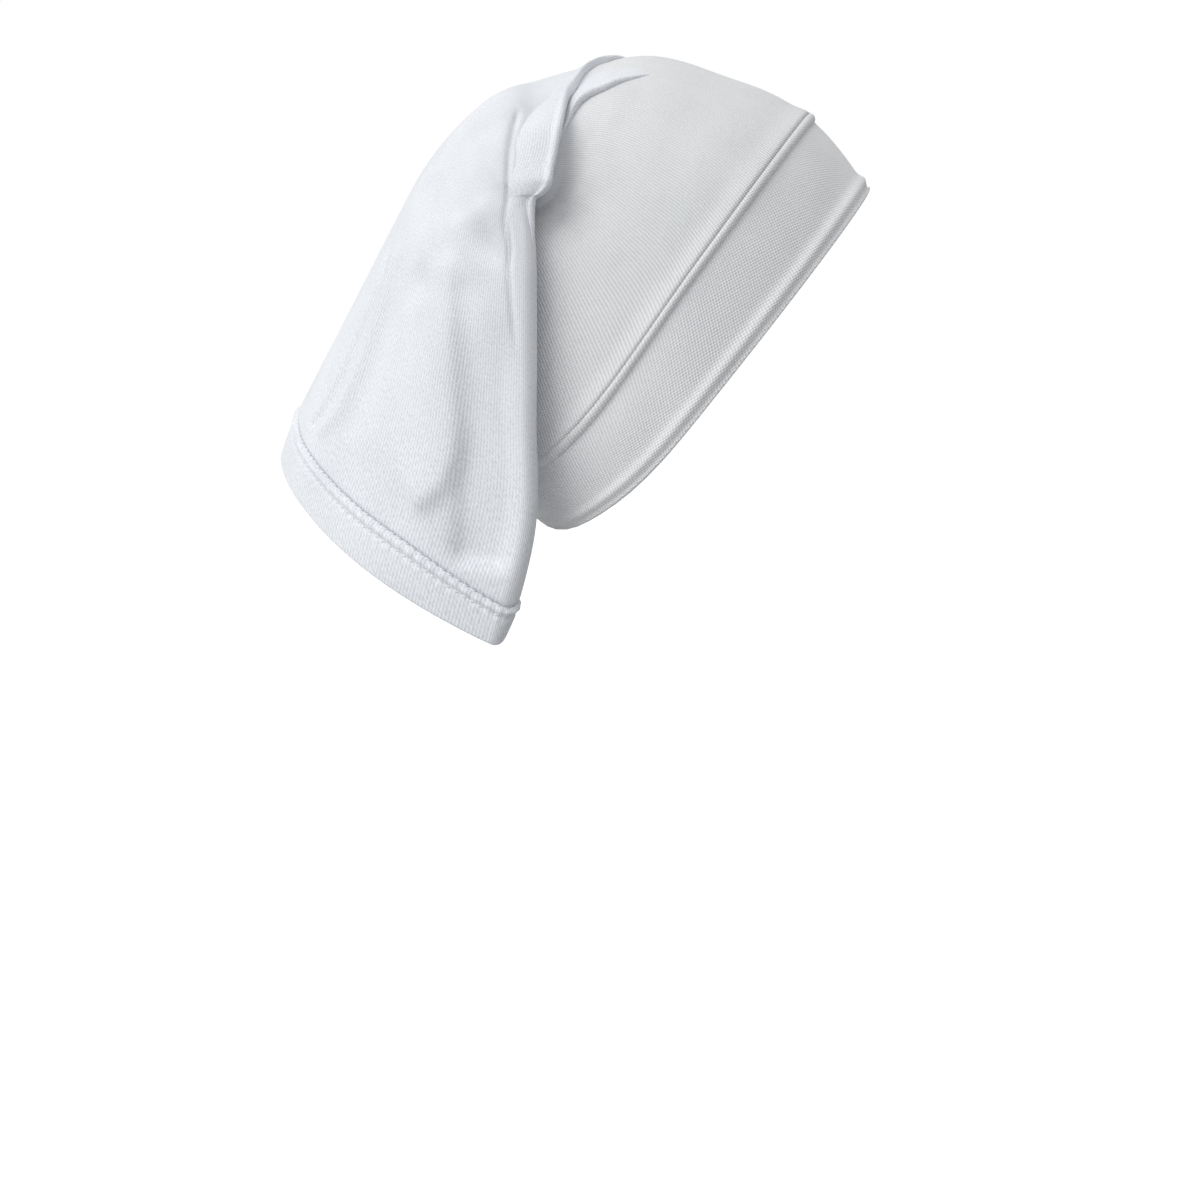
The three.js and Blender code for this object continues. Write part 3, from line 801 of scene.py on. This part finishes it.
for share in np.linspace(1, 0, OUTER_ROWS):
    into = (upper_at - HEM_GAP) * share
    groove = GROOVE * sum(np.exp(-((into - row) / GROOVE_WIDE)**2) for row in (upper_at, lower_at))
    welt = WELT_RISE * np.exp(-((into - (upper_at + lower_at) / 2) / WELT_WIDE)**2)
    gather = GATHER_RISE * pucker * np.exp(-((into - lower_at + GATHER_BELOW) / GATHER_WIDE)**2)
    curled = HEM_OUTSIDE - HEM_CURL * (1 - share)**2
    hem_outer.append((hem_station(ROUND_THE_HEM, into),
                      curled - groove + welt * (1 + WELT_PUCKER * pucker) + gather))
for turn in np.radians(np.arange(60, -61, -20)):
    hem_inner.append((hem_station(ROUND_THE_HEM, -HEM_THICK / 2 * math.cos(turn)),
                      HEM_OUTSIDE - HEM_CURL - HEM_THICK / 2 + HEM_THICK / 2 * math.sin(turn)))
for share in np.linspace(0, 1, INNER_ROWS):
    hem_inner.append((hem_station(ROUND_THE_HEM, (upper_at + TURNED_UP) * share),
                      HEM_OUTSIDE - HEM_CURL * (1 - share)**2 - HEM_THICK))
hem = strip("hem_turn_up", hem_outer, hem_inner, ROUND_THE_HEM)
hem.data.materials.append(jersey)
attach(hem, "root")
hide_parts("tail_hem")


def up_from_hem(into):
    """The station of a row at a distance up from the hem's edge, at any angle."""
    return lambda angle: hem_station(angle, hem_row(angle, into))


hem_top_row = sew("hem_upper_stitches", station=up_from_hem(HEM_ROW),
                  lift=HEM_OUTSIDE - 0.0003, **HEM_STITCH)
hem_low_row = sew("hem_lower_stitches", station=up_from_hem(LOWER_ROW),
                  lift=HEM_OUTSIDE - 0.0003, **HEM_STITCH)

# ---- Floor and light ---------------------------------------------------------------------
# A plain white floor well below, since a head holds the cap up. The light is a large softbox
# behind the wearer and above, and a white room.
FLOOR_Z, FLOOR_HALF = -0.60, 9
floor_mesh = bpy.data.meshes.new("floor")
floor_mesh.from_pydata([(x * FLOOR_HALF, y * FLOOR_HALF, FLOOR_Z)
                        for x, y in ((-1, -1), (1, -1), (1, 1), (-1, 1))], [], [(0, 1, 2, 3)])
floor = bpy.data.objects.new("floor", floor_mesh)
bpy.context.collection.objects.link(floor)
floor_paint = bpy.data.materials.new("floor_paint")
floor_paint.use_nodes = True
floor_shader = floor_paint.node_tree.nodes["Principled BSDF"]
floor_shader.inputs["Base Color"].default_value = (0.85, 0.85, 0.85, 1)
floor_shader.inputs["Roughness"].default_value = 0.9
floor_shader.inputs["Emission Color"].default_value = (1, 1, 1, 1)
floor_shader.inputs["Emission Strength"].default_value = 0.32
floor.data.materials.append(floor_paint)
floor.visible_diffuse = False


def softbox(name, toward, strength, width, tint):
    """Even light from one side, as from a softbox width degrees across."""
    lamp = bpy.data.lights.new(name, "SUN")
    lamp.energy = strength
    lamp.angle = math.radians(width)
    lamp.color = tint
    box = bpy.data.objects.new(name, lamp)
    box.rotation_euler = Vector(toward).to_track_quat("Z", "Y").to_euler()
    bpy.context.collection.objects.link(box)


softbox("key", toward=(-0.50, 0.50, 0.70), strength=1.24, width=40, tint=(1.0, 0.995, 0.985))

# the room is brightest high up behind the wearer, and its walls show plain white
BRIGHT_SIDE = (-0.30, 0.66, 0.69)
ROOM_DARK, ROOM_BRIGHT = 0.16, 0.98
world = bpy.data.worlds.new("studio")
world.use_nodes = True
room = world.node_tree.nodes
room_links = world.node_tree.links
room["Background"].inputs["Color"].default_value = (0.97, 0.985, 1.0, 1)
direction = room.new("ShaderNodeTexCoord")
facing_it = room.new("ShaderNodeVectorMath")
facing_it.operation = "DOT_PRODUCT"
facing_it.inputs[1].default_value = Vector(BRIGHT_SIDE).normalized()
brightness = room.new("ShaderNodeMapRange")
for socket, value in (("From Min", -1), ("From Max", 1),
                      ("To Min", ROOM_DARK), ("To Max", ROOM_BRIGHT)):
    brightness.inputs[socket].default_value = value
room_links.new(direction.outputs["Generated"], facing_it.inputs[0])
room_links.new(facing_it.outputs["Value"], brightness.inputs["Value"])
room_links.new(brightness.outputs["Result"], room["Background"].inputs["Strength"])
backdrop = room.new("ShaderNodeBackground")
backdrop.inputs["Color"].default_value = (1, 1, 1, 1)
seen = room.new("ShaderNodeLightPath")
either = room.new("ShaderNodeMixShader")
room_links.new(seen.outputs["Is Camera Ray"], either.inputs["Fac"])
room_links.new(room["Background"].outputs["Background"], either.inputs[1])
room_links.new(backdrop.outputs["Background"], either.inputs[2])
room_links.new(either.outputs["Shader"], room["World Output"].inputs["Surface"])
bpy.context.scene.world = world
bpy.context.scene.view_settings.view_transform = "Standard"
